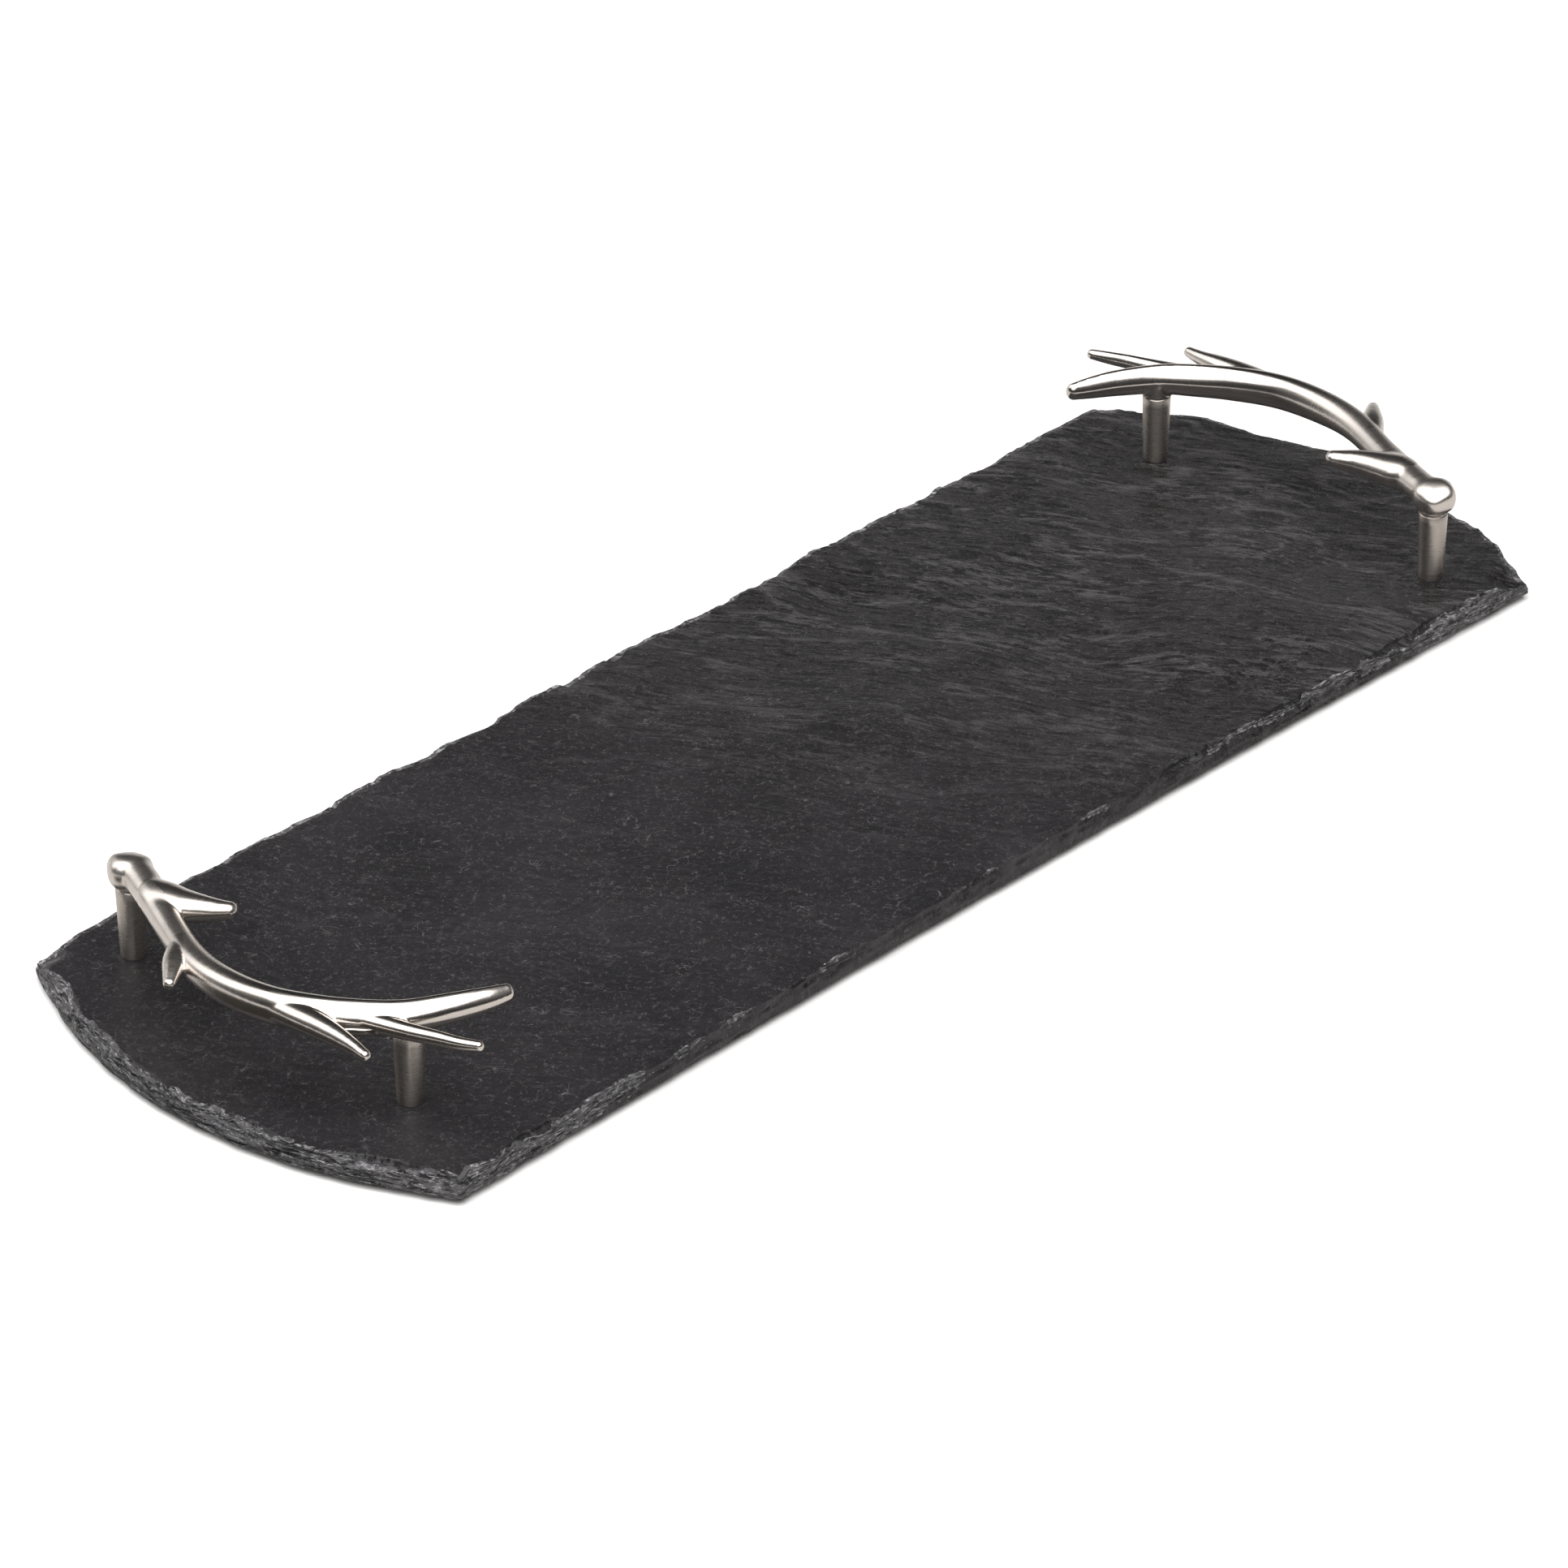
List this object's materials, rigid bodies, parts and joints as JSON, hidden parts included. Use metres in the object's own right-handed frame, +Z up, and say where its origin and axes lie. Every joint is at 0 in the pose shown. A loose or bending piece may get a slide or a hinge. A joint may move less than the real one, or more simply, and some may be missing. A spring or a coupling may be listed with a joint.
{
  "type": "serving board",
  "caption": "Long slate serving board with bowed ends, a cast antler-shaped handle on turned posts at each end, and rubber feet.",
  "frame": {"origin": "on the table under the middle of the board, where the bottoms of the feet stand", "axes": "+X along the board's length towards the right end, +Y across it away from the front long edge, +Z up out of the serving face"},
  "size_m": [0.6, 0.2027, 0.0496],
  "materials": {
    "slate": "cleft slate, matt, with dressed edges",
    "cast_metal": "cast alloy, brushed and nickel plated",
    "turned_metal": "turned and satin plated",
    "fasteners": "zinc plated steel",
    "rubber": "matt black rubber"
  },
  "bodies": {
    "root": {"slate_board": "slate", "left_antler_handle": "cast_metal", "right_antler_handle": "cast_metal", "left_burr_post": "turned_metal", "left_tip_post": "turned_metal", "right_burr_post": "turned_metal", "right_tip_post": "turned_metal", "left_burr_screw": "fasteners", "left_tip_screw": "fasteners", "right_burr_screw": "fasteners", "right_tip_screw": "fasteners", "left_burr_washer": "fasteners", "left_tip_washer": "fasteners", "right_burr_washer": "fasteners", "right_tip_washer": "fasteners", "foot_front_left": "rubber", "foot_front_middle": "rubber", "foot_front_right": "rubber", "foot_back_left": "rubber", "foot_back_middle": "rubber", "foot_back_right": "rubber"}
  },
  "joints": []
}
